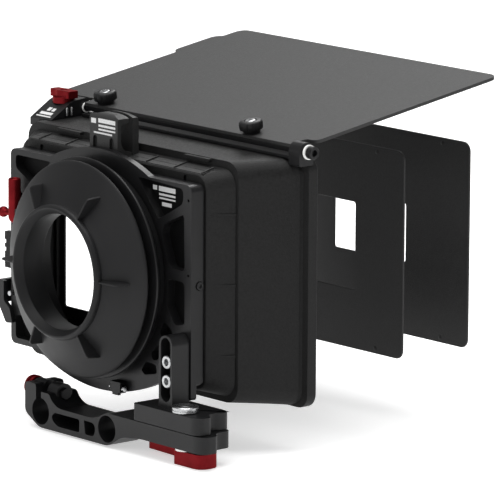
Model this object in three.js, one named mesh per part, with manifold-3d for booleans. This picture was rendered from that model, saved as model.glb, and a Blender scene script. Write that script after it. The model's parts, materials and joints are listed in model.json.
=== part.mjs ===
// Matte box on a swing-away clamp for two 15 mm lens-support rods.
// Millimetres, +X to the right when looking forward, +Y forward along the lens axis, +Z up.
// The origin is midway between the rod bores on the rear face of the rod clamp.
// Every function works about the lens axis; place() moves the finished body into the row frame.
import * as THREE from 'three';
import { mergeVertices } from 'three/addons/utils/BufferGeometryUtils.js';
import Module from 'manifold-3d';

const wasm = await Module();
wasm.setup();

// Lens axis above the rod centres, and the lens ring's rear plane ahead of the clamp's rear face
const AXIS_HEIGHT = 86.5;
const RING_FORWARD = 4.2;

// Rod clamp
const ROD_HALF_SPACING = 30;
const ROD_BORE_R = 7.75;
const ROD_Z = -AXIS_HEIGHT;
const CLAMP_Y0 = -RING_FORWARD;
const CLAMP_Y1 = 16;
const CLAMP_BOTTOM = -96;
const STUD_Y = 6;
const STUD_Z = -76;

// Swing arm
const PIVOT_X = 91;
const PIVOT_Y = 2.4;
const ARM_BOTTOM = -87;
const ARM_SEAM = -77.4;
const ARM_TOP = -67.2;
const POST_X = 74.2;
const POST_HALF = 6;
const POST_Y0 = 2;
const POST_Y1 = 14.2;
const POST_TOP = -26.5;
const SLOT_R = 4.1;
const SLOT_LOW = -59.9;
const SLOT_HIGH = -32.1;
const SCREW_HIGH_Z = -41.8;
const SCREW_LOW_Z = -52.7;

// Ring plate and lens ring
const PLATE_HALF_W = 81.3;
const PLATE_HALF_H = 57;
const PLATE_Y0 = 14.5;
const PLATE_Y1 = 23.5;
const SHEET_Y1 = 18.5;
const POCKET_FLOOR = 20;
const BULGE_TOP = 67.3;
const BULGE_TOP_R = 100;
const BULGE_BOTTOM = -71;
const BULGE_BOTTOM_R = 120;
const FLANGE_R = 61.8;
const THROAT_R = 33;
const LIP_R = 36;
const LIP_Y = -18.7;
const CONE_Y = -13.6;
const CONE_FOOT_R = 53;
const CONE_FOOT_Y = -6.1;

// Filter stage
const STAGE_Y0 = 23.9;
const STAGE_Y1 = 37.2;
const STAGE_HALF_W0 = 83.5;
const STAGE_HALF_W1 = 92.2;
const STAGE_TOP0 = 61.9;
const STAGE_TOP1 = 64.8;
const STAGE_BOTTOM0 = -60.4;
const STAGE_BOTTOM1 = -64;
const STAGE_SCREW_Y = 20.4;
const TRAY_HALF_W = 77.8;
const TRAY_BOTTOM = -55.4;
const REAR_TRAY_Y0 = 25.6;
const REAR_TRAY_Y1 = 29.7;
const FRONT_TRAY_Y0 = 30;
const FRONT_TRAY_Y1 = 34.6;
const RIB_HEIGHT = 0.8;
const TAB_X0 = -14.4;
const TAB_X1 = 10.6;
const TAB_Y = 19;
const TAB_ARCH_TOP = 86.6;
const TAB_ARCH_R = 38;

// Hood
const HOOD_Y0 = 37.5;
const HOOD_Y1 = 77.5;
const HOOD_HALF_W0 = 94.4;
const HOOD_HALF_W1 = 115.5;
const HOOD_TOP0 = 69;
const HOOD_BOTTOM0 = -67.6;
const HOOD_HALF_H1 = 71;
const HOOD_WALL = 3;

// Masks
const MASK_HALF_W = 85.7;
const MASK_HALF_H = 60.4;
const MASK_T = 1.4;
const NEAR_MASK_Y = 167.8;
const FAR_MASK_Y = 218.2;

// Flag and its hinge
const HINGE_Y = 69.6;
const HINGE_Z = 74.9;
const FLAG_TILT = THREE.MathUtils.degToRad(9.7);
const FLAG_HALF_W = 112.8;
const FLAG_LENGTH = 148;
const FLAG_V0 = 1.7;
const FLAG_V1 = 3.6;
const FLAG_KNOB_X = 65;
const FLAG_KNOB_U = 2.8;

// ---- materials -------------------------------------------------------------------------------

const anodised = () => new THREE.MeshStandardMaterial({ color: 0x2e2e30, metalness: 0.6, roughness: 0.5 });
const polymer = () => new THREE.MeshStandardMaterial({ color: 0x2b2b2c, metalness: 0, roughness: 0.6 });
const rubber = () => new THREE.MeshStandardMaterial({ color: 0x353537, metalness: 0, roughness: 0.75 });
const red = () => new THREE.MeshStandardMaterial({ color: 0x8a1c22, metalness: 0.7, roughness: 0.4 });
const steel = () => new THREE.MeshStandardMaterial({ color: 0xc4c6c8, metalness: 1, roughness: 0.3 });
const nylon = () => new THREE.MeshStandardMaterial({ color: 0xe8e8e6, metalness: 0, roughness: 0.5 });

// ---- geometry helpers ------------------------------------------------------------------------

function signedVolume(positions, index) {
  const a = new THREE.Vector3();
  const b = new THREE.Vector3();
  const c = new THREE.Vector3();
  let sum = 0;
  for (let i = 0; i < index.length; i += 3) {
    a.fromArray(positions, index[i] * 3);
    b.fromArray(positions, index[i + 1] * 3);
    c.fromArray(positions, index[i + 2] * 3);
    sum += a.dot(b.cross(c));
  }
  return sum;
}

function solid(geometry) {
  geometry.deleteAttribute('normal');
  geometry.deleteAttribute('uv');
  const merged = mergeVertices(geometry, 1e-4);
  const positions = new Float32Array(merged.attributes.position.array);
  const index = [];
  const source = merged.index.array;
  for (let i = 0; i < source.length; i += 3) {
    const [p, q, r] = [source[i], source[i + 1], source[i + 2]];
    if (p !== q && q !== r && r !== p) {
      index.push(p, q, r);
    }
  }
  if (signedVolume(positions, index) < 0) {
    index.reverse();
  }
  const mesh = new wasm.Mesh({ numProp: 3, vertProperties: positions, triVerts: new Uint32Array(index) });
  return new wasm.Manifold(mesh);
}

function geometryOf(body) {
  const mesh = body.getMesh();
  const geometry = new THREE.BufferGeometry();
  geometry.setAttribute('position', new THREE.BufferAttribute(new Float32Array(mesh.vertProperties), 3));
  geometry.setIndex(new THREE.BufferAttribute(new Uint32Array(mesh.triVerts), 1));
  geometry.computeVertexNormals();
  return geometry;
}

function box(x0, x1, y0, y1, z0, z1) {
  const geometry = new THREE.BoxGeometry(x1 - x0, y1 - y0, z1 - z0);
  geometry.translate((x0 + x1) / 2, (y0 + y1) / 2, (z0 + z1) / 2);
  return solid(geometry);
}

function extruded(shape, depth, curve) {
  return new THREE.ExtrudeGeometry(shape, { depth, bevelEnabled: false, curveSegments: curve });
}

// Outline given as (X, Z), pushed along Y
function alongY(shape, y0, y1, curve = 5) {
  const geometry = extruded(shape, y1 - y0, curve);
  geometry.rotateX(Math.PI / 2);
  geometry.translate(0, y1, 0);
  return solid(geometry);
}

// Outline given as (X, Y), pushed along Z
function alongZ(shape, z0, z1, curve = 5) {
  const geometry = extruded(shape, z1 - z0, curve);
  geometry.translate(0, 0, z0);
  return solid(geometry);
}

// Outline given as (Y, Z), pushed along X
function alongX(shape, x0, x1, curve = 5) {
  const geometry = extruded(shape, x1 - x0, curve);
  const basis = new THREE.Matrix4();
  basis.makeBasis(new THREE.Vector3(0, 1, 0), new THREE.Vector3(0, 0, 1), new THREE.Vector3(1, 0, 0));
  geometry.applyMatrix4(basis);
  geometry.translate(x0, 0, 0);
  return solid(geometry);
}

function rodX(r, x0, x1, y, z, segments = 28) {
  const geometry = new THREE.CylinderGeometry(r, r, x1 - x0, segments);
  geometry.rotateZ(Math.PI / 2);
  geometry.translate((x0 + x1) / 2, y, z);
  return solid(geometry);
}

function rodY(r, y0, y1, x, z, segments = 28) {
  const geometry = new THREE.CylinderGeometry(r, r, y1 - y0, segments);
  geometry.translate(x, (y0 + y1) / 2, z);
  return solid(geometry);
}

function rodZ(r, z0, z1, x, y, segments = 28) {
  const geometry = new THREE.CylinderGeometry(r, r, z1 - z0, segments);
  geometry.rotateX(Math.PI / 2);
  geometry.translate(x, y, (z0 + z1) / 2);
  return solid(geometry);
}

// A polygon whose corners [x, y, r] are eased over r
function outline(corners) {
  const shape = new THREE.Shape();
  const count = corners.length;
  for (let i = 0; i < count; i += 1) {
    const [x, y, r = 0] = corners[i];
    const [px, py] = corners[(i + count - 1) % count];
    const [nx, ny] = corners[(i + 1) % count];
    const corner = new THREE.Vector2(x, y);
    if (r === 0) {
      if (i === 0) {
        shape.moveTo(x, y);
      } else {
        shape.lineTo(x, y);
      }
      continue;
    }
    const back = new THREE.Vector2(px - x, py - y);
    const ahead = new THREE.Vector2(nx - x, ny - y);
    const start = corner.clone().addScaledVector(back.clone().normalize(), Math.min(r, back.length() / 2));
    const end = corner.clone().addScaledVector(ahead.clone().normalize(), Math.min(r, ahead.length() / 2));
    if (i === 0) {
      shape.moveTo(start.x, start.y);
    } else {
      shape.lineTo(start.x, start.y);
    }
    shape.quadraticCurveTo(x, y, end.x, end.y);
  }
  shape.closePath();
  return shape;
}

function roundedRect(x0, x1, y0, y1, r) {
  const shape = new THREE.Shape();
  shape.moveTo(x0 + r, y0);
  shape.lineTo(x1 - r, y0);
  shape.absarc(x1 - r, y0 + r, r, -Math.PI / 2, 0);
  shape.lineTo(x1, y1 - r);
  shape.absarc(x1 - r, y1 - r, r, 0, Math.PI / 2);
  shape.lineTo(x0 + r, y1);
  shape.absarc(x0 + r, y1 - r, r, Math.PI / 2, Math.PI);
  shape.lineTo(x0, y0 + r);
  shape.absarc(x0 + r, y0 + r, r, Math.PI, Math.PI * 1.5);
  return shape;
}

function scalloped(r, lobes, depth) {
  const shape = new THREE.Shape();
  const steps = lobes * 4;
  for (let i = 0; i < steps; i += 1) {
    const angle = (i / steps) * Math.PI * 2;
    const reach = r - depth * (i % 4 === 0 ? 1 : 0);
    const point = [reach * Math.cos(angle), reach * Math.sin(angle)];
    if (i === 0) {
      shape.moveTo(...point);
    } else {
      shape.lineTo(...point);
    }
  }
  shape.closePath();
  return shape;
}

// Rounded rectangles [y, half width, bottom, top, corner radius] skinned front to back
function loft(sections, cornerSteps = 5) {
  const ring = [];
  for (const [y, hw, bottom, top, r] of sections) {
    for (let corner = 0; corner < 4; corner += 1) {
      const cx = (corner === 0 || corner === 3 ? 1 : -1) * (hw - r);
      const cz = corner < 2 ? top - r : bottom + r;
      for (let step = 0; step <= cornerSteps; step += 1) {
        const angle = (corner + step / cornerSteps) * Math.PI / 2;
        ring.push(cx + r * Math.cos(angle), y, cz + r * Math.sin(angle));
      }
    }
  }
  const n = 4 * (cornerSteps + 1);
  const index = [];
  for (let s = 0; s < sections.length - 1; s += 1) {
    for (let i = 0; i < n; i += 1) {
      const a = s * n + i;
      const b = s * n + (i + 1) % n;
      index.push(a, b, a + n, b, b + n, a + n);
    }
  }
  const last = (sections.length - 1) * n;
  for (let i = 1; i < n - 1; i += 1) {
    index.push(0, i + 1, i);
    index.push(last, last + i, last + i + 1);
  }
  const geometry = new THREE.BufferGeometry();
  geometry.setAttribute('position', new THREE.Float32BufferAttribute(ring, 3));
  geometry.setIndex(index);
  return solid(geometry);
}

function turned(profile, segments) {
  const points = profile.map(([r, y]) => new THREE.Vector2(r, y));
  points.push(points[0].clone());
  return solid(new THREE.LatheGeometry(points, segments));
}

// Lift a body drawn about the hinge, with Y along the flag and Z off its face, onto the tilted flag
function onFlag(body) {
  const tilt = new THREE.Matrix4().makeRotationX(FLAG_TILT);
  const geometry = geometryOf(body);
  geometry.applyMatrix4(tilt);
  geometry.translate(0, HINGE_Y, HINGE_Z);
  return solid(geometry);
}

function place(name, body, material) {
  const geometry = geometryOf(body);
  geometry.translate(0, RING_FORWARD, AXIS_HEIGHT);
  const mesh = new THREE.Mesh(geometry, material);
  mesh.name = name;
  return mesh;
}

// ---- rod clamp -------------------------------------------------------------------------------

function clampSection() {
  return outline([
    [-44.4, -71.3, 2], [-44.4, -88.7, 3], [-31.6, CLAMP_BOTTOM, 3], [31, CLAMP_BOTTOM, 3],
    [37.2, -92.6, 2], [43, -89, 5], [58, ARM_BOTTOM, 6], [68, ARM_BOTTOM], [68, ARM_SEAM],
    [28.4, ARM_SEAM, 4], [20, -82.5, 7], [-14.5, -82.2, 4], [-20.2, -78.6, 2],
    [-22.2, -75.2, 2], [-33, -75.2], [-34.3, -75.2], [-34.3, -71.3, 2],
  ]);
}

function lowerArmPlan() {
  return outline([
    [40, CLAMP_Y0], [114, CLAMP_Y0, 9], [114, 6.5, 2], [108.5, 9.5, 3], [107.5, 13, 3],
    [107.5, 22.5, 6], [62, 22.5, 5], [58, 15.5, 3], [40, 15.5],
  ]);
}

function rodClamp() {
  let body = alongY(clampSection(), CLAMP_Y0, CLAMP_Y1);
  body = body.add(alongZ(lowerArmPlan(), ARM_BOTTOM, ARM_SEAM));
  body = body.add(rodX(5.7, -29.6, -21, STUD_Y, STUD_Z));
  body = body.add(rodX(5.7, -43.9, -34.3, STUD_Y, STUD_Z));
  for (const side of [-1, 1]) {
    const bore = rodY(ROD_BORE_R, CLAMP_Y0 - 1, CLAMP_Y1 + 1, side * ROD_HALF_SPACING, ROD_Z, 40);
    body = body.subtract(bore);
  }
  body = body.subtract(box(-34.3, -29.6, CLAMP_Y0 - 1, CLAMP_Y1 + 1, ROD_Z, -68));
  const wide = outline([[-17.6, -85.2, 2], [5.3, -85.2, 1.5], [5.3, -92.8, 1.5], [-15.5, -92.8, 4], [-20.6, -88.5, 3]]);
  body = body.subtract(alongY(wide, CLAMP_Y0 - 1, CLAMP_Y1 - 2.5));
  const small = outline([[9.4, -84.8, 1.2], [18.2, -85.2, 2], [19.9, -88.5, 3], [18.2, -92.9, 2], [10.6, -92.9, 1.2]]);
  body = body.subtract(alongY(small, CLAMP_Y0 - 1, CLAMP_Y1 - 2.5));
  body = body.subtract(rodX(2.6, -46, -19, STUD_Y, STUD_Z, 20));
  body = body.subtract(rodX(4, -21, -15, STUD_Y, STUD_Z, 20));
  return body.subtract(rodZ(4, ARM_BOTTOM - 1, ARM_SEAM + 1, PIVOT_X, PIVOT_Y));
}

function clampKnob() {
  const wheel = alongX(scalloped(6.4, 14, 0.6), -51.4, -45.2);
  const placed = wheel.translate([0, STUD_Y, STUD_Z]);
  return placed.subtract(rodX(3, -52, -50.6, STUD_Y, STUD_Z, 20));
}

function clampStud() {
  const shank = rodX(2.2, -44.7, -19, STUD_Y, STUD_Z, 20);
  return shank.add(rodX(3.6, -20.7, -18.8, STUD_Y, STUD_Z, 6));
}

// ---- swing arm -------------------------------------------------------------------------------

function upperArmPlan() {
  return outline([
    [53.5, CLAMP_Y0, 1.5], [110, CLAMP_Y0, 7], [110, 5.5, 2], [103.6, 8, 3], [102.6, 13, 3],
    [104.8, 16, 3], [104.8, 23.5, 7], [60, 23.5, 6], [53.5, 16, 5],
  ]);
}

function postSlot(r, y0, y1) {
  const shape = new THREE.Shape();
  shape.absarc(POST_X, SLOT_HIGH, r, 0, Math.PI);
  shape.absarc(POST_X, SLOT_LOW, r, Math.PI, Math.PI * 2);
  return alongY(shape, y0, y1, 12);
}

function swingArm() {
  const face = new THREE.Shape();
  face.absarc(POST_X, POST_TOP - POST_HALF, POST_HALF, 0, Math.PI);
  face.lineTo(POST_X - POST_HALF, -66, 0);
  face.lineTo(POST_X - POST_HALF - 1.6, ARM_TOP - 1);
  face.lineTo(POST_X + POST_HALF + 1.2, ARM_TOP - 1);
  face.lineTo(POST_X + POST_HALF, -66);
  let body = alongZ(upperArmPlan(), ARM_SEAM + 0.3, ARM_TOP);
  body = body.add(alongY(face, POST_Y0, POST_Y1, 12));
  body = body.subtract(postSlot(SLOT_R, POST_Y0 - 1, 8.6));
  body = body.subtract(postSlot(2.7, 8, POST_Y1 + 1));
  body = body.subtract(rodZ(4, ARM_SEAM - 1, ARM_TOP + 1, PIVOT_X, PIVOT_Y));
  return body.subtract(rodZ(1.1, ARM_TOP - 5, ARM_TOP + 1, 77.5, -1.6, 12));
}

function pivotScrew() {
  const screw = turned([
    [0, -63.4], [6.6, -63.4], [7.4, -64.2], [7.4, -66.9], [3.6, -66.9], [3.6, -88.4], [1.6, -88.6],
    [1.6, -93.6], [0, -93.6],
  ], 36);
  const upright = new THREE.Matrix4().makeRotationX(Math.PI / 2);
  const geometry = geometryOf(screw);
  geometry.applyMatrix4(upright);
  geometry.translate(PIVOT_X, PIVOT_Y, 0);
  return solid(geometry).subtract(rodZ(3.5, -65.6, -63, PIVOT_X, PIVOT_Y, 6));
}

function leverWasher() {
  const disc = rodZ(5.4, -88.6, -87.3, PIVOT_X, PIVOT_Y, 32);
  return disc.subtract(rodZ(4.1, -89, -87, PIVOT_X, PIVOT_Y));
}

function swingLever() {
  const hub = outline([[84.5, -0.6, 1.2], [107.8, -0.6, 7], [107.8, 14.4, 7], [84.5, 14.4, 1.2]]);
  const handle = outline([[53.2, 6.8, 2], [86, 5.2], [86, 14], [53.2, 14.6, 2]]);
  const body = alongZ(hub, -97, -88.9).add(alongZ(handle, -94.6, -89.4));
  return body.subtract(rodZ(2, -94, -88, PIVOT_X, PIVOT_Y));
}

function heightScrew(z) {
  let body = rodY(3.8, 2.3, 8.3, POST_X, z, 24);
  body = body.add(rodY(2.3, 8, POST_Y1, POST_X, z, 16));
  return body.subtract(rodY(1.9, 2, 5, POST_X, z, 6));
}

// ---- ring plate and lens ring ----------------------------------------------------------------

function platePockets() {
  const right = [
    [[34.5, 56, 2], [74, 54.5, 3], [74, 46, 3], [52.2, 34.4, 2]],
    [[55.4, 27, 2], [57.6, 32.5, 3], [74.8, 40.5, 3], [75.4, 8, 3], [62.2, 8.6, 3]],
    [[61, 2, 2], [75.4, 2, 3], [75.4, -22, 2], [67, -23.6, 2], [60, -13, 2]],
    [[57.5, -22.5, 2], [65.6, -28, 2], [58.4, -34, 2], [53.8, -30, 2]],
    [[54, -36, 1.5], [55.8, -39, 1.5], [52.2, -46, 2], [47.5, -46.5, 2], [46.5, -42, 1.5]],
    [[41.9, -48.2, 1.5], [50.5, -48.6, 1.5], [51.8, -53.6, 2], [40.6, -56, 1.5], [37.5, -53.6, 1.5]],
  ];
  const left = [
    [[-76.6, 53.6, 2.5], [-44, 53.6, 2], [-62, 38.5, 2.5], [-76.6, 46, 2.5]],
    [[-76, 36, 2], [-58.5, 22.5, 2], [-62.6, 2, 2], [-76, 2, 2]],
    [[-77, -53.6, 2.5], [-47, -53.6, 2], [-63, -39.5, 2.5], [-77, -40, 2]],
  ];
  return right.concat(left);
}

function bulge(edge, radius) {
  const side = Math.sign(edge);
  const disc = rodY(radius, PLATE_Y0, SHEET_Y1, 0, edge - side * radius, 160);
  const inner = side * 45;
  const outer = side * 80;
  const low = Math.min(inner, outer);
  const high = Math.max(inner, outer);
  return disc.intersect(box(-62, 62, PLATE_Y0 - 1, SHEET_Y1 + 1, low, high));
}

function ringPlate() {
  const base = roundedRect(-PLATE_HALF_W, PLATE_HALF_W, -PLATE_HALF_H, PLATE_HALF_H, 4);
  let body = alongY(base, PLATE_Y0, PLATE_Y1);
  body = body.add(bulge(BULGE_TOP, BULGE_TOP_R));
  body = body.add(bulge(BULGE_BOTTOM, BULGE_BOTTOM_R));
  const leg = outline([[66.8, -50], [PLATE_HALF_W, -50], [PLATE_HALF_W, -64.3, 2], [66.8, -64.3, 2]]);
  body = body.add(alongY(leg, PLATE_Y0, SHEET_Y1));
  body = body.subtract(rodY(56, PLATE_Y0 - 1, PLATE_Y1 + 1, 0, 0, 72));
  for (const corners of platePockets()) {
    body = body.subtract(alongY(outline(corners), PLATE_Y0 - 1, POCKET_FLOOR, 3));
  }
  for (const z of [48.5, 6.2]) {
    body = body.subtract(rodY(0.9, PLATE_Y0 - 1, PLATE_Y0 + 1.5, 78.6, z, 10));
  }
  body = body.subtract(rodX(2.7, 80, 82, STAGE_SCREW_Y, 0.2, 20));
  body = body.add(box(-66.6, -64, 6, POCKET_FLOOR + 0.5, 17, 24));
  return body.subtract(rodX(2, -68, -63, 8.9, 20.3, 16));
}

function lensRing() {
  return turned([
    [54.2, 5], [62.4, 5], [63, 5.6], [63, 6.4], [62.4, 6.9], [58.2, 7.1], [58.2, 14.2], [54.2, 14.2],
  ], 60);
}

function donut() {
  let body = turned([
    [THROAT_R, -0.2], [THROAT_R, -14], [LIP_R, LIP_Y], [37.5, -18.4], [38.6, -16], [38.2, CONE_Y],
    [CONE_FOOT_R, CONE_FOOT_Y], [60.3, -2.4], [61.4, -1.7], [FLANGE_R, -0.8], [61.4, 0.2], [53.8, 1.6],
    [53.8, 12], [51, 12], [51, -2.6], [37.4, -11], [35.2, -11], [35.2, -0.2],
  ], 60);
  for (let i = 0; i < 6; i += 1) {
    const side = new THREE.Shape();
    side.moveTo(37.3, -17.3);
    side.lineTo(51, -15.6);
    side.lineTo(52.3, -14.4);
    side.lineTo(CONE_FOOT_R, CONE_FOOT_Y);
    side.lineTo(50, -5);
    side.lineTo(37.3, -12.4);
    const geometry = extruded(side, 1.8, 1);
    geometry.translate(0, 0, -0.9);
    geometry.rotateY(-i * Math.PI / 3);
    body = body.add(solid(geometry));
  }
  return body;
}

function ringLever() {
  const tube = turned([[0, 41.3], [3.1, 41.3], [3.6, 40.6], [3.6, 18.4], [2.5, 16.1], [0, 15.1]], 24);
  const geometry = geometryOf(tube);
  geometry.rotateX(Math.PI / 2);
  geometry.translate(-70.6, 8.9, 0);
  let body = solid(geometry);
  body = body.add(rodX(1.6, -80, -63.6, 8.9, 20.3, 16));
  const ball = new THREE.SphereGeometry(3.2, 20, 12);
  ball.translate(-80.9, 8.9, 20.3);
  return body.add(solid(ball));
}

function ringCatch() {
  const strap = box(15.6, 24.6, 9.8, 14.2, -69, -62.6);
  const hook = box(17.4, 22.8, 9.8, 12, -70.4, -68);
  return strap.add(hook).subtract(rodX(2, 15, 25.5, 11.9, -66.4, 16));
}

function catchPin() {
  return rodX(1.7, 13.8, 26.2, 11.9, -66.4, 16);
}

function sideLatch() {
  const plan = new THREE.Shape();
  plan.moveTo(-90.8, 11.4);
  plan.lineTo(-87.3, 11.4);
  plan.lineTo(-87.3, 25.5);
  plan.absarc(-89.05, 25.5, 1.75, 0, Math.PI);
  const wall = alongZ(plan, -34.4, -21, 6);
  const hook = outline([
    [-90.8, -21, 1], [-84.2, -21, 1], [-84.2, -32.6, 1.5], [-78.6, -36.5, 1.5], [-76.4, -44.6, 1.5],
    [-82.4, -45.4, 1.5], [-87.2, -38, 1.5], [-90.8, -34.4, 1],
  ]);
  return wall.add(alongY(hook, 11.4, 14.1, 3));
}

function latchPin() {
  return rodY(1.5, 11.8, 14.2, -79.6, -27.8, 16);
}

function sideRack() {
  let body = box(-87.6, -81.6, 14.8, 18.4, -13.8, 7.4);
  body = body.subtract(box(-88, -86.4, 14, 19, 0.4, 2.6));
  return body.subtract(box(-88, -86.4, 14, 19, -4.2, -2));
}

// ---- filter stage ----------------------------------------------------------------------------

function sideRib(side, z) {
  const plan = outline([
    [side * 83.9, 25.4], [side * 92.9, STAGE_Y1 - 0.1], [side * 90, STAGE_Y1 - 0.1], [side * 82, 25.4],
  ]);
  return alongZ(plan, z - 0.6, z + 0.6);
}

function stripSlot(x) {
  return box(x - 1.7, x + 1.7, STAGE_Y0 - 1, 25.4, 56, 58.6).add(rodY(1.7, STAGE_Y0 - 1, 25.4, x, 58.6, 20));
}

function stageBody() {
  let body = loft([
    [STAGE_Y0, STAGE_HALF_W0 - 0.8, STAGE_BOTTOM0 + 0.8, STAGE_TOP0 - 0.8, 8.2],
    [STAGE_Y0 + 0.8, STAGE_HALF_W0, STAGE_BOTTOM0, STAGE_TOP0, 9],
    [STAGE_Y1, STAGE_HALF_W1, STAGE_BOTTOM1, STAGE_TOP1, 9.5],
  ]);
  for (const side of [-1, 1]) {
    for (const z of [-40, 0, 40]) {
      body = body.add(sideRib(side, z));
    }
  }
  const slotBottom = TRAY_BOTTOM - 0.4;
  const slotHalf = TRAY_HALF_W + 0.4;
  body = body.subtract(box(-slotHalf, slotHalf, REAR_TRAY_Y0 - 0.4, FRONT_TRAY_Y1 + 0.3, slotBottom, 90));
  body = body.subtract(alongY(roundedRect(-70, 70, -46, 46, 3), 18, 38, 3));
  return body.subtract(stripSlot(-64.1)).subtract(stripSlot(64.6));
}

function stageScrew() {
  const head = rodX(2.4, 80.3, 82.1, STAGE_SCREW_Y, 0.2, 20);
  return head.subtract(rodX(1.3, 81.2, 83, STAGE_SCREW_Y, 0.2, 6));
}

// The stage's top climbs from its rear edge to the hood, and the trays' tops follow it
function rampZ(y) {
  return STAGE_TOP0 + (y - STAGE_Y0) * (STAGE_TOP1 - STAGE_TOP0) / (STAGE_Y1 - STAGE_Y0);
}

function trayFrame(y0, y1) {
  const frame = alongY(roundedRect(-TRAY_HALF_W, TRAY_HALF_W, TRAY_BOTTOM, STAGE_TOP1 + 1, 2), y0, y1, 3);
  const above = outline([[y0 - 1, rampZ(y0 - 1)], [y1 + 1, rampZ(y1 + 1)], [y1 + 1, 90], [y0 - 1, 90]]);
  const sloped = frame.subtract(alongX(above, -90, 90));
  return sloped.subtract(alongY(roundedRect(-70, 70, -46, 46, 3), y0 - 1, y1 + 1, 3));
}

// Thin gussets across the trays, a little proud of the ramp
function trayRibs(body, y0, y1) {
  const side = outline([
    [y0, rampZ(y0) - 0.5], [y1, rampZ(y1) - 0.5], [y1, rampZ(y1) + RIB_HEIGHT], [y0, rampZ(y0) + RIB_HEIGHT],
  ]);
  let ribbed = body;
  for (const x of [-69, -44.5, 28, 52.5, 76.6]) {
    ribbed = ribbed.add(alongX(side, x - 0.4, x + 0.4));
  }
  return ribbed;
}

// The top of both tabs follows one shallow arch
function arched(tab) {
  const above = box(TAB_X0 - 1, TAB_X1 + 1, 17, 37, 76, 92);
  const middle = (TAB_X0 + TAB_X1) / 2;
  return tab.subtract(above.subtract(rodY(TAB_ARCH_R, 16, 38, middle, TAB_ARCH_TOP - TAB_ARCH_R, 120)));
}

function rearTray() {
  let body = trayRibs(trayFrame(REAR_TRAY_Y0, REAR_TRAY_Y1), REAR_TRAY_Y0, REAR_TRAY_Y1);
  const hook = outline([
    [TAB_Y, 62.9], [25.8, 62.9], [25.8, 61.5], [29.4, 61.5], [29.4, 65], [24.6, 66, 3],
    [21.6, 69.6, 3], [21.6, 81, 1], [27.4, 82], [27.4, 86.2, 1], [23, 86.8, 2], [TAB_Y, 84.6, 2],
  ]);
  body = body.add(arched(alongX(hook, TAB_X0, TAB_X1, 4)));
  for (const x of [-9.5, 5.2]) {
    body = body.subtract(box(x - 1.9, x + 1.9, TAB_Y - 1, TAB_Y + 1.7, 61, 71.4));
    body = body.subtract(rodY(1.9, TAB_Y - 1, TAB_Y + 1.7, x, 71.4, 20));
  }
  return body;
}

function frontTray() {
  const body = trayRibs(trayFrame(FRONT_TRAY_Y0, FRONT_TRAY_Y1), FRONT_TRAY_Y0, FRONT_TRAY_Y1);
  const wall = outline([
    [30.1, 62], [34.4, 62], [34.4, 83.4, 2.5], [31.9, 86.4, 2], [30.1, 86.8, 1],
  ]);
  return body.add(arched(alongX(wall, TAB_X0, TAB_X1, 4)));
}

// ---- hood and masks --------------------------------------------------------------------------

function hoodEnvelope(grow) {
  const sections = [
    [HOOD_Y0, HOOD_HALF_W0, HOOD_BOTTOM0, HOOD_TOP0, 10],
    [47.5, 99.4, -68.4, 69.4, 10],
    [58.5, 105.3, -69.3, 69.9, 10],
    [68.2, 110.9, -70.1, 70.2, 9],
    [68.3, 110.1, -69.3, 69.4, 8.4],
    [70.3, 111.1, -69.4, 69.5, 8.4],
    [70.4, HOOD_HALF_W1, -HOOD_HALF_H1, HOOD_HALF_H1, 8],
    [HOOD_Y1 - 0.8, HOOD_HALF_W1, -HOOD_HALF_H1, HOOD_HALF_H1, 8],
    [HOOD_Y1, HOOD_HALF_W1 - 0.8, 0.8 - HOOD_HALF_H1, HOOD_HALF_H1 - 0.8, 7.2],
  ];
  return loft(sections.map(([y, hw, bottom, top, r]) => [y, hw + grow, bottom - grow, top + grow, r + grow]), 6);
}

function hood() {
  let body = hoodEnvelope(0);
  for (const x of [-65, 49.5]) {
    body = body.add(box(x, x + 21.5, 35.2, 38.5, 66.8, 68.6));
  }
  const w = HOOD_WALL;
  body = body.subtract(loft([
    [40.4, 90.5, -64.6, 65.6, 8],
    [47.5, 99.4 - w, w - 68.4, 69.4 - w, 8],
    [68.2, 110.1 - w, w - 69.3, 69.4 - w, 7],
    [78.5, 112.6, -68, 68, 6],
  ], 6));
  return body.subtract(alongY(roundedRect(-68, 68, -43.5, 43.5, 4), 30, 45, 3));
}

function maskPlate(y0, windowHalfW, windowHalfH) {
  const sheet = roundedRect(-MASK_HALF_W, MASK_HALF_W, -MASK_HALF_H, MASK_HALF_H, 5.5);
  let body = alongY(sheet, y0, y0 + MASK_T, 6);
  const hole = roundedRect(-windowHalfW, windowHalfW, -windowHalfH, windowHalfH, 1.4);
  body = body.subtract(alongY(hole, y0 - 1, y0 + MASK_T + 1, 3));
  for (const x of [-62.5, 62.5]) {
    for (const z of [-57.4, 57.4]) {
      body = body.add(rodY(1.5, y0 - 0.4, y0 + 0.5, x, z, 12));
    }
  }
  return body;
}

// ---- flag hinge ------------------------------------------------------------------------------

function hingeBase() {
  const section = outline([[64, 70.4], [70.2, 70.85], [70.2, 71.35], [75, 71.35], [75, 72.2], [64, 72.2]]);
  return alongX(section, -78, 105.4);
}

function hingeBlockRight() {
  const section = outline([
    [63.6, 67, 1], [73.5, 67, 1], [73.5, 78, 2], [71, 80.2, 2], [66.4, 80.2, 2], [63.6, 77, 2],
  ]);
  let body = alongX(section, 106, 115.3, 4);
  body = body.subtract(hoodEnvelope(0.3));
  return body.subtract(rodX(2.5, 105, 116, HINGE_Y, HINGE_Z, 20));
}

function hingeBlockLeft() {
  const section = outline([
    [43.8, 65], [43.8, 69.3], [57.4, 77.9, 2], [60, 79.2, 2], [70.4, 80.4, 2], [72.5, 78.5, 1],
    [72.5, 65],
  ]);
  let body = alongX(section, -100.5, -81.4, 4);
  body = body.subtract(hoodEnvelope(0.3));
  body = body.subtract(rodZ(6.8, 77, 90, -91, 61, 28));
  return body.subtract(rodX(2.5, -86.8, -80, HINGE_Y, HINGE_Z, 20));
}

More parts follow.
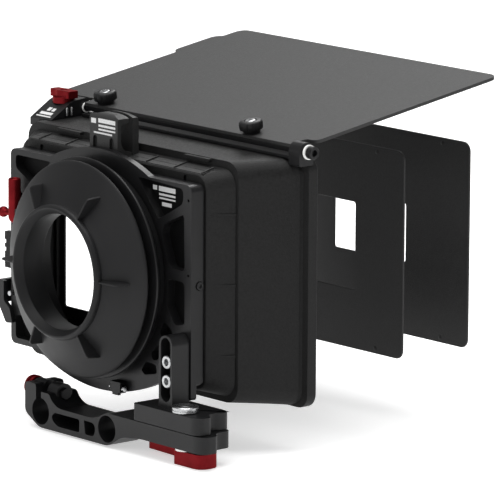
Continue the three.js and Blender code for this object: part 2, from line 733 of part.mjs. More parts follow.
function hingeBar() {
  const section = outline([[-2, -1.4, 0.6], [6.5, -1.4, 0.6], [6.5, 1.4, 0.6], [-2, 1.4, 0.6]]);
  const bar = onFlag(alongX(section, -78, 105.4, 2));
  const neck = rodX(1.4, -80, 105, HINGE_Y, HINGE_Z, 20);
  const left = rodX(2.1, -86.3, -79.8, HINGE_Y, HINGE_Z, 20);
  const right = rodX(2.1, 104.8, 110.2, HINGE_Y, HINGE_Z, 20);
  return bar.add(neck).add(left).add(right);
}

function hingeWasher(r, x0, x1, hole) {
  const disc = rodX(r, x0, x1, HINGE_Y, HINGE_Z, 28);
  return disc.subtract(rodX(hole, x0 - 1, x1 + 1, HINGE_Y, HINGE_Z, 20));
}

function hingeScrew() {
  let body = rodX(3.6, 117.3, 121.2, HINGE_Y, HINGE_Z, 24);
  body = body.add(rodX(1.9, 110.6, 118, HINGE_Y, HINGE_Z, 16));
  return body.subtract(rodX(1.9, 119, 122, HINGE_Y, HINGE_Z, 6));
}

function wingKnob() {
  const wings = outline([
    [-9, -3.2, 1.2], [-3.4, -3.4, 3], [0, -4.8, 4], [3.4, -3.4, 3], [9, -4, 1.2],
    [9, 4, 1.2], [3.4, 3.4, 3], [0, 4.8, 4], [-3.4, 3.4, 3], [-9, 3.2, 1.2],
  ]);
  const hub = rodZ(6.4, 77.3, 81, 0, 0, 28);
  const stacked = hub.add(alongZ(wings, 80.6, 84.9, 4));
  const body = stacked.subtract(rodZ(2, 84.2, 86, 0, 0, 16));
  return body.translate([-91, 61, 0]);
}

function indexPin(y) {
  return rodZ(0.7, 71.2, 76, -80.4, y, 12);
}

function flag() {
  const sheet = outline([
    [-FLAG_HALF_W, 6.3, 5], [-79.4, 6.3, 1], [-79.4, -2, 0.5], [104.4, -2, 0.5], [104.4, 9, 2],
    [FLAG_HALF_W, 9, 5], [FLAG_HALF_W, FLAG_LENGTH, 7], [-FLAG_HALF_W, FLAG_LENGTH, 7],
    [-FLAG_HALF_W, 133, 1], [-117.8, 129.5, 3], [-117.8, 99, 3], [-FLAG_HALF_W, 95.5, 1],
  ]);
  let body = alongZ(sheet, FLAG_V0, FLAG_V1, 5);
  for (const side of [-1, 1]) {
    body = body.subtract(rodZ(2.2, 0, 5, side * FLAG_KNOB_X, FLAG_KNOB_U, 20));
  }
  return onFlag(body);
}

function flagKnob(x) {
  const wheel = alongZ(scalloped(6.8, 24, 0.35), FLAG_V1 + 0.3, 11).translate([x, FLAG_KNOB_U, 0]);
  let body = wheel.add(rodZ(1.8, FLAG_V0 + 0.1, 5, x, FLAG_KNOB_U, 16));
  body = body.subtract(rodZ(3.4, 9.6, 12, x, FLAG_KNOB_U, 24));
  return onFlag(body);
}

function knobCap(x) {
  const disc = rodZ(3.1, 9.9, 11.3, x, FLAG_KNOB_U, 24);
  return onFlag(disc.subtract(rodZ(1.5, 10.6, 12, x, FLAG_KNOB_U, 6)));
}

// ---- the part --------------------------------------------------------------------------------

const group = new THREE.Group();
group.name = 'matte_box';
group.add(
  place('rod_clamp', rodClamp(), anodised()),
  place('clamp_knob', clampKnob(), red()),
  place('clamp_stud', clampStud(), steel()),
  place('swing_arm', swingArm(), anodised()),
  place('pivot_screw', pivotScrew(), steel()),
  place('lever_washer', leverWasher(), nylon()),
  place('swing_lever', swingLever(), red()),
  place('ring_plate', ringPlate(), anodised()),
  place('height_screw_upper', heightScrew(SCREW_HIGH_Z), steel()),
  place('height_screw_lower', heightScrew(SCREW_LOW_Z), steel()),
  place('lens_ring', lensRing(), anodised()),
  place('donut', donut(), rubber()),
  place('ring_lever', ringLever(), red()),
  place('ring_catch', ringCatch(), anodised()),
  place('catch_pin', catchPin(), steel()),
  place('side_latch', sideLatch(), anodised()),
  place('latch_pin', latchPin(), steel()),
  place('side_rack', sideRack(), polymer()),
  place('stage_body', stageBody(), polymer()),
  place('stage_screw', stageScrew(), anodised()),
  place('rear_tray', rearTray(), polymer()),
  place('front_tray', frontTray(), polymer()),
  place('hood', hood(), polymer()),
  place('wide_mask', maskPlate(40.9, 65, 36.4), polymer()),
  place('near_mask', maskPlate(NEAR_MASK_Y, 44.2, 25.7), polymer()),
  place('far_mask', maskPlate(FAR_MASK_Y, 31.6, 17.5), polymer()),
  place('hinge_base', hingeBase(), anodised()),
  place('hinge_block_right', hingeBlockRight(), anodised()),
  place('hinge_block_left', hingeBlockLeft(), anodised()),
  place('hinge_bar', hingeBar(), anodised()),
  place('hinge_washer_right', hingeWasher(4.2, 115.6, 117, 2.3), nylon()),
  place('hinge_washer_left', hingeWasher(3.1, -81.1, -80, 2.5), nylon()),
  place('hinge_screw', hingeScrew(), anodised()),
  place('wing_knob', wingKnob(), red()),
  place('index_pin_rear', indexPin(55), steel()),
  place('index_pin_front', indexPin(58.4), steel()),
  place('flag', flag(), anodised()),
  place('flag_knob_left', flagKnob(-FLAG_KNOB_X), anodised()),
  place('flag_knob_right', flagKnob(FLAG_KNOB_X), anodised()),
  place('knob_cap_left', knobCap(-FLAG_KNOB_X), steel()),
  place('knob_cap_right', knobCap(FLAG_KNOB_X), steel()),
);

export default group;
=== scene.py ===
"""Looks of the matte box: finished edges, turned and knurled pieces, and procedural materials."""
import json
import math

import bmesh
import bpy
from mathutils import Matrix, Quaternion, Vector


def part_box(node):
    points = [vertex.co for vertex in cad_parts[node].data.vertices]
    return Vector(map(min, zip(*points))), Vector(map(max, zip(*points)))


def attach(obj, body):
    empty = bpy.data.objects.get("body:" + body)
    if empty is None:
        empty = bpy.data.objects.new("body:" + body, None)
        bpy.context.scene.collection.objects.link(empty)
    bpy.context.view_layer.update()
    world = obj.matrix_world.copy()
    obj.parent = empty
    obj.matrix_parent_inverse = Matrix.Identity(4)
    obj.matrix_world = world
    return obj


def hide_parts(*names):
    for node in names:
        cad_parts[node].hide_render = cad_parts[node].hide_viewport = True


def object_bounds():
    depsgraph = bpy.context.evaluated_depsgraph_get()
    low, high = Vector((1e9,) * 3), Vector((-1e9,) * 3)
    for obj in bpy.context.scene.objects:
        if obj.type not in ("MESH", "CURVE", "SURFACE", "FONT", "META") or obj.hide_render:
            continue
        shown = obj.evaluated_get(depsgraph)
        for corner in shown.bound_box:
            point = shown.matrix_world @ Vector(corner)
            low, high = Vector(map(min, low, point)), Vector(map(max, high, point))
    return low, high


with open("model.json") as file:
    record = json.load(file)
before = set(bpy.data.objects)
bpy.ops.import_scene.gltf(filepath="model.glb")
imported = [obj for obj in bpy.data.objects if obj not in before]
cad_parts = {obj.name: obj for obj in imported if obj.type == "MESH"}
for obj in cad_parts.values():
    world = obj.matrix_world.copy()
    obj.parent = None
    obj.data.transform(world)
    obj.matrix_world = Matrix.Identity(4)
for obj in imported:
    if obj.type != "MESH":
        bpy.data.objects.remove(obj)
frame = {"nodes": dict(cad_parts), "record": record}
cad_low, cad_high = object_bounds()

MM = 0.001
RECORD = frame["record"]
BODY_OF = {node: body for body, nodes in RECORD["behaviour"]["bodies"].items() for node in nodes}
SLOT_OF = {row["node"]: row["material_slot"] for row in RECORD["subparts"]}

# Lens axis in the row frame, in millimetres
AXIS_Y = 4.2
AXIS_Z = 86.5

# Rear faces that carry printing, and the floor of the ring plate's pockets
TAB_FACE_Y = 23.2
POCKET_FLOOR_Y = 24.2

MASK_THICKNESS = 1.4
STUD_X = 62.5
STUD_Z = 57.4
HINGE = Vector((0, 73.8, 161.4)) * MM
FLAG_TILT = math.radians(9.7)


# ---- camera, light and floor ----------------------------------------------------------------

def add_camera():
    azimuth, elevation, distance = math.radians(51.46), math.radians(10.97), 3.1
    pan, tilt = math.radians(-1.777), math.radians(0.198)
    aim = Vector((0, AXIS_Y, AXIS_Z)) * MM
    flat = math.cos(elevation)
    toward = Vector((math.sin(azimuth) * flat, -math.cos(azimuth) * flat, math.sin(elevation)))
    data = bpy.data.cameras.new("camera")
    data.lens = 396.3
    data.sensor_width = 36
    data.clip_end = 30
    camera = bpy.data.objects.new("camera", data)
    bpy.context.scene.collection.objects.link(camera)
    camera.location = aim + toward * distance
    camera.rotation_mode = "QUATERNION"
    level = (-toward).to_track_quat("-Z", "Y")
    camera.rotation_quaternion = level @ Quaternion((0, 1, 0), pan) @ Quaternion((1, 0, 0), tilt)
    bpy.context.scene.camera = camera


def add_softbox(name, place, aim, width, height, watts):
    data = bpy.data.lights.new(name, "AREA")
    data.shape = "RECTANGLE"
    data.size = width
    data.size_y = height
    data.energy = watts
    lamp = bpy.data.objects.new(name, data)
    bpy.context.scene.collection.objects.link(lamp)
    lamp.location = place
    lamp.rotation_mode = "QUATERNION"
    lamp.rotation_quaternion = (Vector(aim) - Vector(place)).to_track_quat("-Z", "Y")


def add_studio():
    world = bpy.data.worlds.new("studio")
    world.use_nodes = True
    world.node_tree.nodes["Background"].inputs["Color"].default_value = (1, 1, 1, 1)
    world.node_tree.nodes["Background"].inputs["Strength"].default_value = 0.42
    bpy.context.scene.world = world
    centre = (0, 0.1, 0.09)
    add_softbox("top_softbox", (0.1, 0.0, 1.5), centre, 1.4, 1.4, 23)
    add_softbox("rear_softbox", (0.1, -1.6, 0.9), centre, 1.2, 0.8, 6)
    add_softbox("far_softbox", (-0.63, 1.0, 1.1), centre, 0.8, 0.6, 8)
    bpy.context.scene.view_settings.view_transform = "Standard"


def add_floor():
    mesh = bpy.data.meshes.new("floor")
    shape = bmesh.new()
    bmesh.ops.create_circle(shape, cap_ends=True, segments=96, radius=14)
    shape.to_mesh(mesh)
    shape.free()
    floor = bpy.data.objects.new("floor", mesh)
    bpy.context.scene.collection.objects.link(floor)
    floor.location.z = cad_low.z - 0.3 * MM
    paint = bpy.data.materials.new("pale_floor")
    paint.use_nodes = True
    shader = paint.node_tree.nodes["Principled BSDF"]
    shader.inputs["Base Color"].default_value = (0.9, 0.9, 0.9, 1)
    shader.inputs["Roughness"].default_value = 0.8
    shader.inputs["Emission Color"].default_value = (1, 1, 1, 1)
    shader.inputs["Emission Strength"].default_value = 0.5
    mesh.materials.append(paint)


# ---- materials ------------------------------------------------------------------------------

class Material:
    """A Principled material whose colour, roughness and bump are mixed from noise in object space."""

    def __init__(self, name, metallic=0.0, specular=0.5):
        self.material = bpy.data.materials.new(name)
        self.material.use_nodes = True
        self.tree = self.material.node_tree
        self.shader = self.tree.nodes["Principled BSDF"]
        self.shader.inputs["Metallic"].default_value = metallic
        self.shader.inputs["Specular IOR Level"].default_value = specular
        self.place = self.tree.nodes.new("ShaderNodeTexCoord").outputs["Object"]

    def join(self, source, target):
        self.tree.links.new(source, target)

    def stretched(self, scale):
        mapping = self.tree.nodes.new("ShaderNodeMapping")
        mapping.inputs["Scale"].default_value = scale
        self.join(self.place, mapping.inputs["Vector"])
        return mapping.outputs["Vector"]

    def noise(self, scale, detail=2.0, roughness=0.5, place=None):
        node = self.tree.nodes.new("ShaderNodeTexNoise")
        node.inputs["Scale"].default_value = scale
        node.inputs["Detail"].default_value = detail
        node.inputs["Roughness"].default_value = roughness
        self.join(place or self.place, node.inputs["Vector"])
        return node.outputs["Fac"]

    def ramp(self, source, low, high, start=0.3, end=0.7):
        node = self.tree.nodes.new("ShaderNodeValToRGB")
        node.color_ramp.elements[0].position = start
        node.color_ramp.elements[0].color = (*low, 1)
        node.color_ramp.elements[1].position = end
        node.color_ramp.elements[1].color = (*high, 1)
        self.join(source, node.inputs["Fac"])
        return node.outputs["Color"]

    def colour(self, source):
        self.join(source, self.shader.inputs["Base Color"])

    def rough(self, source, low, high):
        node = self.tree.nodes.new("ShaderNodeMapRange")
        node.inputs["From Min"].default_value = 0.3
        node.inputs["From Max"].default_value = 0.7
        node.inputs["To Min"].default_value = low
        node.inputs["To Max"].default_value = high
        self.join(source, node.inputs["Value"])
        self.join(node.outputs["Result"], self.shader.inputs["Roughness"])

    def bump(self, source, depth, strength=1.0):
        node = self.tree.nodes.new("ShaderNodeBump")
        node.inputs["Strength"].default_value = strength
        node.inputs["Distance"].default_value = depth
        self.join(source, node.inputs["Height"])
        self.join(node.outputs["Normal"], self.shader.inputs["Normal"])


def black_anodised():
    made = Material("black_anodised", specular=0.23)
    bloom = made.noise(45, detail=4)
    made.colour(made.ramp(bloom, (0.006, 0.006, 0.0065), (0.009, 0.009, 0.0095)))
    grain = made.noise(2600, detail=3)
    made.rough(grain, 0.3, 0.42)
    made.bump(grain, 0.014 * MM)
    return made.material


def grey(level):
    return (level, level, level)


def moulded(name, specular, dark, light, depth):
    """Matt plastic: a soft mottle in its colour and a fine moulded grain, depth millimetres deep."""
    made = Material(name, specular=specular)
    mottle = made.noise(700, detail=3, roughness=0.6)
    made.colour(made.ramp(mottle, grey(dark), grey(light), 0.35, 0.68))
    made.rough(mottle, 0.46, 0.62)
    made.bump(made.noise(1150, detail=3, roughness=0.65), depth * MM)
    return made.material


def black_polymer():
    return moulded("black_polymer", specular=0.18, dark=0.005, light=0.011, depth=0.22)


def tray_polymer():
    return moulded("tray_polymer", specular=0.3, dark=0.014, light=0.024, depth=0.12)


def flag_coating():
    made = Material("flag_coating", specular=0.3)
    mottle = made.noise(520, detail=4, roughness=0.7)
    made.colour(made.ramp(mottle, grey(0.019), grey(0.033), 0.35, 0.65))
    made.rough(mottle, 0.55, 0.7)
    made.bump(made.noise(1500, detail=2, roughness=0.6), 0.1 * MM)
    return made.material


def mask_coating():
    made = Material("mask_coating", specular=0.32)
    mottle = made.noise(600, detail=4, roughness=0.7)
    made.colour(made.ramp(mottle, grey(0.011), grey(0.022), 0.35, 0.65))
    made.rough(mottle, 0.5, 0.66)
    made.bump(made.noise(1300, detail=2, roughness=0.6), 0.12 * MM)
    return made.material


# Painted shade: a darker, less shiny version of the anodised finish for the pocket floors. It stands in for
# the shade in the plate's recesses.
def painted_pocket_shade():
    made = Material("painted_pocket_shade", specular=0.08)
    bloom = made.noise(45, detail=4)
    made.colour(made.ramp(bloom, (0.0015, 0.0015, 0.0016), (0.003, 0.003, 0.0032)))
    made.rough(bloom, 0.5, 0.6)
    made.bump(bloom, 0.01 * MM)
    return made.material


def mask_coating():
    made = Material("mask_coating", specular=0.32)
    blotch = made.noise(600, detail=4, roughness=0.7)
    made.colour(made.ramp(blotch, (0.011, 0.011, 0.011), (0.022, 0.022, 0.022), 0.35, 0.65))
    grain = made.noise(1300, detail=2, roughness=0.6)
    made.rough(blotch, 0.5, 0.66)
    made.bump(grain, 0.12 * MM)
    return made.material


def black_rubber():
    made = Material("black_rubber", specular=0.18)
    bloom = made.noise(38, detail=3)
    made.colour(made.ramp(bloom, (0.008, 0.008, 0.0085), (0.011, 0.011, 0.0115)))
    grain = made.noise(1800, detail=2)
    made.rough(bloom, 0.42, 0.52)
    made.bump(grain, 0.012 * MM)
    return made.material


def red_anodised():
    made = Material("red_anodised", metallic=0.75, specular=0.25)
    made.shader.inputs["Specular Tint"].default_value = (0.9, 0.35, 0.35, 1)
    bloom = made.noise(160, detail=3)
    made.colour(made.ramp(bloom, (0.12, 0.006, 0.008), (0.16, 0.009, 0.012)))
    lines = made.noise(900, detail=2, place=made.stretched((1, 1, 9)))
    made.rough(lines, 0.3, 0.44)
    made.bump(lines, 0.01 * MM)
    return made.material


def bright_steel():
    made = Material("bright_steel", metallic=1.0)
    bloom = made.noise(220, detail=2)
    made.colour(made.ramp(bloom, (0.36, 0.365, 0.37), (0.44, 0.445, 0.45)))
    lines = made.noise(700, detail=3, place=made.stretched((1, 1, 12)))
    made.rough(lines, 0.2, 0.34)
    made.bump(lines, 0.008 * MM)
    return made.material


def white_nylon():
    made = Material("white_nylon", specular=0.45)
    bloom = made.noise(300, detail=2)
    made.colour(made.ramp(bloom, (0.78, 0.78, 0.76), (0.86, 0.86, 0.85)))
    made.rough(bloom, 0.4, 0.5)
    made.bump(bloom, 0.01 * MM)
    return made.material


def printed_white():
    made = Material("printed_white", specular=0.3)
    flecks = made.noise(2400, detail=2)
    made.colour(made.ramp(flecks, (0.5, 0.5, 0.5), (0.72, 0.72, 0.72)))
    made.rough(flecks, 0.5, 0.65)
    made.bump(flecks, 0.01 * MM)
    return made.material


FINISHES = {
    make.__name__: make()
    for make in (
        black_anodised, black_polymer, black_rubber, red_anodised, bright_steel, white_nylon,
        flag_coating, mask_coating, tray_polymer, painted_pocket_shade, printed_white,
    )
}


# ---- making pieces --------------------------------------------------------------------------

def new_piece(name, shape, finish, body):
    mesh = bpy.data.meshes.new(name)
    bmesh.ops.recalc_face_normals(shape, faces=shape.faces)
    shape.to_mesh(mesh)
    shape.free()
    for face in mesh.polygons:
        face.use_smooth = True
    mesh.materials.append(FINISHES[finish])
    piece = bpy.data.objects.new(name, mesh)
    bpy.context.scene.collection.objects.link(piece)
    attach(piece, body)
    return piece


def crisp(piece, angle=32):
    piece.data.set_sharp_from_angle(angle=math.radians(angle))


def ease_edges(piece, width, segments=2, angle=28):
    bevel = piece.modifiers.new("eased_edges", "BEVEL")
    bevel.width = width * MM
    bevel.segments = segments
    bevel.limit_method = "ANGLE"
    bevel.angle_limit = math.radians(angle)
    bevel.harden_normals = False
    bevel.miter_outer = "MITER_ARC"
    weighted = piece.modifiers.new("flat_faces", "WEIGHTED_NORMAL")
    weighted.keep_sharp = True
    weighted.weight = 60


def finished(node, width, finish=None, segments=2, angle=28):
    """The CAD solid with its flat faces joined up and its edges eased."""
    shape = bmesh.new()
    shape.from_mesh(frame["nodes"][node].data)
    bmesh.ops.remove_doubles(shape, verts=shape.verts, dist=0.002 * MM)
    flat = math.radians(0.6)
    bmesh.ops.dissolve_limit(shape, angle_limit=flat, verts=shape.verts, edges=shape.edges)
    slot = SLOT_OF[node]
    piece = new_piece(node + "_finished", shape, finish or slot, BODY_OF[node])
    ease_edges(piece, width, segments, angle)
    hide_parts(node)
    return piece
    return piece


def paint_pocket_shade(plate):
    """The floors of the plate's pockets, given a darker, duller material as painted shade in the recesses."""
    plate.data.materials.append(FINISHES["painted_pocket_shade"])
    for face in plate.data.polygons:
        if face.normal.y < -0.99 and abs(face.center.y - POCKET_FLOOR_Y * MM) < 0.05 * MM:
            face.material_index = 1


def ring_of(shape, points):
    return [shape.verts.new(point) for point in points]


def skin(shape, first, second):
    count = len(first)
    for i in range(count):
        j = (i + 1) % count
        shape.faces.new((first[i], first[j], second[j], second[i]))


def turned(profile, place, segments=64, ripple=None, shape=None):
    """A body of revolution. profile lists (radius, distance along the axis) in millimetres, and place maps
    (x, y, z) with z along the axis to the row frame. ripple(angle, radius) reshapes the rim."""
    shape = shape or bmesh.new()
    rings = []
    for radius, along in profile:
        if radius == 0:
            rings.append([shape.verts.new(place(0, 0, along))])
            continue
        ring = []
        for i in range(segments):
            angle = math.tau * i / segments
            reach = ripple(angle, radius) if ripple else radius
            ring.append(shape.verts.new(place(reach * math.cos(angle), reach * math.sin(angle), along)))
        rings.append(ring)
    for first, second in zip(rings, rings[1:]):
        if len(first) == 1:
            for i in range(segments):
                shape.faces.new((first[0], second[i], second[(i + 1) % segments]))
        elif len(second) == 1:
            for i in range(segments):
                shape.faces.new((first[i], second[0], first[(i + 1) % segments]))
        else:
            skin(shape, first, second)
    return shape


def along_x(x, y, z):
    """Maps a turned body's axis onto X about the given centre line."""
    return lambda a, b, c: Vector((x + c, y + a, z + b)) * MM


def along_y(x, y, z):
    return lambda a, b, c: Vector((x + a, y + c, z + b)) * MM


def along_z(x, y, z):
    return lambda a, b, c: Vector((x + a, y + b, z + c)) * MM


def on_flag(x, u):
    """Maps a turned body's axis onto the flag's normal, u millimetres ahead of the hinge axis."""
    turn = Matrix.Rotation(FLAG_TILT, 3, "X")
    return lambda a, b, c: HINGE + turn @ (Vector((x + a, u + b, c)) * MM)


def middle(node):
    low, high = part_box(node)
    return (low + high) / (2 * MM)


def knurl(teeth, depth, rim):
    def ripple(angle, radius):
        if radius < rim:
            return radius
        wave = abs(math.sin(angle * teeth / 2))
        return radius - depth * (1 - wave) ** 2
    return ripple


def hex_socket(flat, depth, top, place):
    """The six-sided recess of a socket screw, as a lining just above the metal."""
    shape = bmesh.new()
    reach = flat / math.sqrt(3)
    corners = [(reach * math.cos(i * math.pi / 3), reach * math.sin(i * math.pi / 3)) for i in range(6)]
    mouth = ring_of(shape, [place(x, y, top) for x, y in corners])
    base = ring_of(shape, [place(x, y, top - depth) for x, y in corners])
    skin(shape, mouth, base)
    shape.faces.new(base)
    return shape


# ---- donut and lens ring --------------------------------------------------------------------

DONUT_PROFILE = [
    (33.2, -0.2), (33, -0.6), (33, -14), (35.5, -18.1), (36, -18.6), (36.8, -18.65), (37.5, -18.3),
    (38.2, -17.5), (38.5, -16.5), (38.5, -15.6), (38.1, -15.1), (38.1, -14), (38.7, -13.3), (42, -11.6),
    (47.5, -8.9), (53, -6.1), (56.5, -4.3), (59.2, -3), (60.6, -2.2), (61.3, -1.7), (61.7, -1.1),
    (61.7, -0.5), (61.3, 0), (60.6, 0.3), (54.6, 1.4), (53.8, 1.9), (53.8, 11.6), (53.4, 11.9), (51.4, 11.9),
    (51.1, 11.6), (51.1, -2.4), (37.6, -10.9), (35.5, -10.9), (35.2, -10.6), (35.2, -0.5), (34.9, -0.2),
    (33.2, -0.2),
]


def donut():
    shape = turned(DONUT_PROFILE, along_y(0, AXIS_Y, AXIS_Z), 144)
    piece = new_piece("donut_moulding", shape, "black_rubber", "matte_box")
    crisp(piece, 27)
    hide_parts("donut")
    for i in range(6):
        fin(i)


def fin(number):
    """One stiffening fin: a web that narrows to its crest and runs from the lip down to the cone's foot."""
    crest = [
        (37.8, -17.2), (42, -16.7), (46.5, -16.2), (50.4, -15.7), (51.4, -15.3), (52.1, -14.4), (52.9, -6.4),
    ]
    foot = [
        (37.8, -12.8), (42, -11), (46.5, -8.8), (50.4, -6.8), (51.4, -6.3), (52.1, -5.9), (52.9, -5.5),
    ]
    turn = number * math.pi / 3
    shape = bmesh.new()
    rows = []
    for points, half in ((foot, 0.9), (crest, 0.6)):
        for side in (-1, 1):
            row = []
            for radius, along in points:
                x = radius * math.cos(turn) - side * half * math.sin(turn)
                z = radius * math.sin(turn) + side * half * math.cos(turn)
                row.append(shape.verts.new(Vector((x, AXIS_Y + along, AXIS_Z + z)) * MM))
            rows.append(row)
    left_foot, right_foot, left_crest, right_crest = rows
    for first, second in ((left_foot, left_crest), (left_crest, right_crest),
                          (right_crest, right_foot), (right_foot, left_foot)):
        for i in range(len(first) - 1):
            shape.faces.new((first[i], first[i + 1], second[i + 1], second[i]))
    for end in (0, -1):
        shape.faces.new([row[end] for row in (left_foot, left_crest, right_crest, right_foot)])
    piece = new_piece(f"donut_fin_{number + 1}", shape, "black_rubber", "matte_box")
    ease_edges(piece, 0.35, 3)


def lens_ring():
    profile = [
        (54.2, 5), (62.4, 5), (62.8, 5.15), (63, 5.5), (63, 6.4), (62.8, 6.75), (62.4, 6.9), (58.6, 7),
        (58.2, 7.3), (58.2, 10.2), (57.8, 10.4), (57.8, 11), (58.2, 11.2), (58.2, 14), (58, 14.2),
        (54.2, 14.2), (54.2, 5),
    ]
    shape = turned(profile, along_y(0, AXIS_Y, AXIS_Z), 144)
    piece = new_piece("lens_ring_turned", shape, "black_anodised", "matte_box")
    crisp(piece, 40)
    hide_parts("lens_ring")


# ---- screws and knobs -----------------------------------------------------------------------

def pivot_screw():
    x, y = 91, 6.6
    profile = [
        (0, 21.6), (2.9, 21.6), (3.1, 21.9), (4.6, 22.3), (6.1, 23), (6.6, 23.1), (7.1, 22.9),
        (7.4, 22.5), (7.4, 21.5), (7.1, 21.3), (7.1, 20.9), (7.4, 20.7), (7.4, 19.8), (7.1, 19.6),
        (3.6, 19.6), (3.6, -1.9), (1.6, -2.1), (1.6, -7), (0, -7),
    ]
    shape = turned(profile, along_z(x, y, 0), 72)
    piece = new_piece("pivot_screw_turned", shape, "bright_steel", "clamp")
    crisp(piece)
    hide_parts("pivot_screw")
    # The socket lining uses the black finish although the screw is steel: painted shade in the hex recess.
    socket = hex_socket(4.4, 1.8, 21.7, along_z(x, y, 0))
    crisp(new_piece("pivot_screw_socket_painted_shade", socket, "black_anodised", "clamp"))


def height_screw(node):
    centre = middle(node)
    profile = [
        (0, 9.1), (1.7, 9.1), (1.9, 8.9), (1.9, 6.8), (2.1, 6.6), (3.35, 6.55), (3.7, 6.8),
        (3.8, 7.2), (3.8, 12.4), (2.3, 12.5), (2.3, 18.3), (0, 18.3),
    ]
    shape = turned(profile, along_y(centre.x, 0, centre.z), 48)
    piece = new_piece(node + "_turned", shape, "bright_steel", "matte_box")
    crisp(piece)
    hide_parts(node)
    socket = hex_socket(3.1, -1.9, 6.7, along_y(centre.x, 0, centre.z))
    crisp(new_piece(node + "_socket", socket, "bright_steel", "matte_box"))


def flag_knob(side):
    name = "flag_knob_" + ("left" if side < 0 else "right")
    place = on_flag(side * 65, 2.8)
    profile = [
        (0, 9.7), (3.3, 9.7), (3.4, 10.7), (3.6, 10.95), (5.3, 10.95), (6.2, 10.6), (6.7, 9.9), (6.75, 9.2),
        (6.75, 6.6), (6.5, 6), (5.2, 5.7), (5, 5.4), (5, 4.2), (4.8, 3.95), (1.8, 3.95), (1.8, 1.9), (0, 1.9),
    ]
    shape = turned(profile, place, 144, knurl(44, 0.35, 6.1))
    piece = new_piece(name + "_knurled", shape, "black_anodised", name)
    crisp(piece, 40)
    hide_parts(name)
    knob_cap(side, place, name)


def knob_cap(side, place, body):
    node = "knob_cap_" + ("left" if side < 0 else "right")
    profile = [
        (0, 9.95), (3.05, 9.95), (3.1, 10.2), (3.1, 10.8), (2.8, 11.15), (2.3, 11.28), (1.6, 11.28),
        (1.5, 11.1), (1.5, 10.3), (0, 10.3),
    ]
    piece = new_piece(node + "_turned", turned(profile, place, 48), "bright_steel", body)
    crisp(piece)
    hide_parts(node)


def clamp_knob():
    y, z = 10.2, 10.5
    profile = [
        (0, -50.6), (2.8, -50.6), (3, -51.1), (3.3, -51.35), (4.6, -51.4), (5.6, -51.1), (6.1, -50.6),
        (6.3, -49.9), (6.3, -48.4), (5.4, -48.1), (5.4, -47.7), (6.3, -47.4), (6.3, -46.2), (6, -45.6),
        (5, -45.3), (0, -45.3),
    ]
    shape = turned(profile, along_x(0, y, z), 112, knurl(28, 0.5, 5.9))
    piece = new_piece("clamp_knob_knurled", shape, "red_anodised", "clamp_knob")
    crisp(piece, 40)
    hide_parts("clamp_knob")


def ring_lever():
    y, z = 13.1, 106.8
    tube = [
        (0, 120.9), (1.8, 120.9), (2.1, 121.2), (2.1, 127.4), (2.4, 127.75), (3.1, 127.75), (3.5, 127.4),
        (3.6, 126.9), (3.6, 105.2), (3.3, 103.9), (2.4, 102.6), (1.2, 101.8), (0, 101.65),
    ]
    shape = turned(tube, along_z(-70.6, y, 0), 48)
    piece = new_piece("ring_lever_tube", shape, "red_anodised", "ring_lever")
    crisp(piece, 50)
    pin = [
        (0, -84.05), (1.2, -83.8), (2.3, -83.1), (3, -82), (3.2, -80.9), (3, -79.8), (2.3, -78.7),
        (1.6, -78.1), (1.5, -77.7), (1.5, -63.8), (0, -63.7),
    ]
    shape = turned(pin, along_x(0, y, z), 32)
    stem = new_piece("ring_lever_stem", shape, "red_anodised", "ring_lever")
    crisp(stem, 50)
    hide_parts("ring_lever")


def hinge_screw():
    y, z = HINGE.y / MM, HINGE.z / MM
    profile = [
        (0, 119.1), (1.75, 119.1), (1.85, 119.3), (1.85, 121), (2, 121.2), (3.2, 121.2), (3.6, 120.8),
        (3.6, 117.5), (3.4, 117.3), (1.9, 117.3), (1.9, 110.8), (0, 110.8),
    ]
    shape = turned(profile, along_x(0, y, z), 48)
    piece = new_piece("hinge_screw_turned", shape, "black_anodised", "flag")
    crisp(piece)
    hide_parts("hinge_screw")


# ---- printed marks --------------------------------------------------------------------------

def printed_bars(name, place, body, rows):
    """Plain bars in place of printing. rows lists (left, right, low, high) in millimetres on the surface."""
    shape = bmesh.new()
    for left, right, low, high in rows:
        corners = [(left, low), (right, low), (right, high), (left, high)]
        shape.faces.new(ring_of(shape, [place(a, b, 0) for a, b in corners]))
    return new_piece(name, shape, "printed_white", body)


def on_tab(across, up, _):
    return Vector((across, TAB_FACE_Y - 0.06, up)) * MM


def in_pocket(across, up, _):
    return Vector((across, POCKET_FLOOR_Y - 0.07, up)) * MM


def on_wedge(across, along, _):
    """The sloping rear face of the left hinge block, along millimetres up from its foot."""
    rise = Matrix.Rotation(math.atan2(8.6, 13.6), 3, "X")
    return (Vector((0, 48, 155.8)) + rise @ Vector((across, along, 0.08))) * MM


def printed_marks():
    printed_bars("tray_mark", on_tab, "rear_tray", [
        (-6.6, 8.6, 167.4, 169.8), (-13, -8.6, 166.6, 169.4), (-6.4, 8.6, 165, 166.3), (-6.4, 8.6, 163, 164),
        (-10.6, 5.8, 161, 162),
    ])
    printed_bars("plate_mark", in_pocket, "matte_box", [
        (46.2, 60.7, 135.6, 138.4), (41, 44.6, 135.8, 138.4), (46.4, 60.7, 133.2, 134.4),
        (46.4, 60.7, 131.2, 132.1), (49, 57.5, 127.4, 129.6),
    ])
    printed_bars("hinge_mark", on_wedge, "matte_box", [
        (-97.5, -84.5, 2.2, 3.2), (-96.5, -85.5, 4.2, 6.4), (-93.5, -90.5, 7.6, 10.6),
        (-89.3, -86.6, 7.6, 10.2),
    ])


# ---- masks ----------------------------------------------------------------------------------

def rounded_loop(half_width, half_height, radius, steps=8):
    points = []
    for corner in range(4):
        x = (half_width - radius) * (1 if corner in (0, 3) else -1)
        z = (half_height - radius) * (1 if corner < 2 else -1)
        for step in range(steps + 1):
            angle = (corner + step / steps) * math.pi / 2
            points.append((x + radius * math.cos(angle), z + radius * math.sin(angle)))
    return points


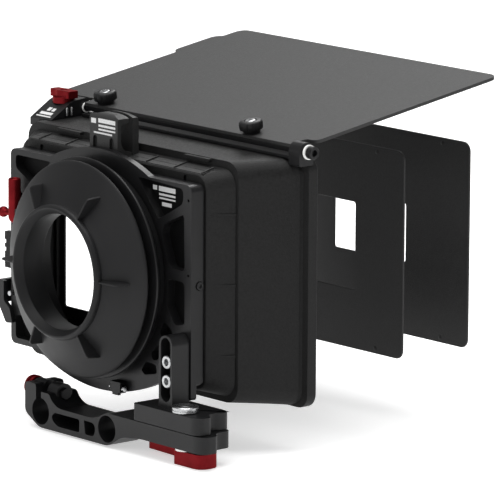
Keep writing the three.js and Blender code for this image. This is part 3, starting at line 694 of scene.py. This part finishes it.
def mask(node, window_half_width, window_half_height):
    """A mask plate: rounded sheet, rounded window with eased edges, and four domed studs on its rear."""
    low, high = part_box(node)
    centre = middle(node)
    half_width = (high.x - low.x) / (2 * MM)
    half_height = (high.z - low.z) / (2 * MM)
    front = high.y / MM
    rear = front - MASK_THICKNESS
    ease = 0.25
    shape = bmesh.new()
    rings = []
    for width, height, radius, grow in ((half_width, half_height, 5.5, 1),
                                        (window_half_width, window_half_height, 1.6, -1)):
        levels = [(rear, ease), (rear + ease, 0), (front - ease, 0), (front, ease)]
        if grow < 0:
            levels.reverse()
        for y, inset in levels:
            inset *= grow
            loop = rounded_loop(width - inset, height - inset, radius - inset)
            rings.append(ring_of(shape, [Vector((x, y, centre.z + z)) * MM for x, z in loop]))
    for i, ring in enumerate(rings):
        skin(shape, ring, rings[(i + 1) % len(rings)])
    dome = [(0, -0.4), (0.7, -0.34), (1.2, -0.16), (1.5, 0.12), (1.5, 0.4), (0, 0.4)]
    for x in (-STUD_X, STUD_X):
        for z in (-STUD_Z, STUD_Z):
            turned(dome, along_y(x, rear, centre.z + z), 20, shape=shape)
    piece = new_piece(node + "_sheet", shape, "mask_coating", BODY_OF[node])
    crisp(piece)
    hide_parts(node)


# ---- the model ------------------------------------------------------------------------------

EASED = {
    "rod_clamp": 0.45, "swing_arm": 0.5, "lever_washer": 0.2, "swing_lever": 0.5,
    "ring_catch": 0.3, "side_latch": 0.35, "side_rack": 0.2, "stage_body": 0.5,
    "hood": 0.5, "hinge_base": 0.2, "hinge_block_right": 0.4, "hinge_block_left": 0.4,
    "hinge_bar": 0.3, "hinge_washer_right": 0.2, "hinge_washer_left": 0.2, "wing_knob": 0.4,
    "catch_pin": 0.25, "latch_pin": 0.25, "index_pin_rear": 0.15,
    "index_pin_front": 0.15, "stage_screw": 0.2,
}


def build():
    for node, width in EASED.items():
        finished(node, width)
    finished("flag", 0.3, "flag_coating")
    finished("rear_tray", 0.25, "tray_polymer")
    finished("front_tray", 0.25, "tray_polymer")
    finished("clamp_stud", 0.2, "black_anodised")
    # The ring plate's pocket floors get painted shade.
    paint_pocket_shade(finished("ring_plate", 0.35))
    mask("wide_mask", 65, 36.4)
    mask("near_mask", 44.2, 25.7)
    mask("far_mask", 31.6, 17.5)
    donut()
    lens_ring()
    pivot_screw()
    height_screw("height_screw_upper")
    height_screw("height_screw_lower")
    for side in (-1, 1):
        flag_knob(side)
    clamp_knob()
    ring_lever()
    hinge_screw()
    printed_marks()


add_camera()
add_studio()
add_floor()
build()
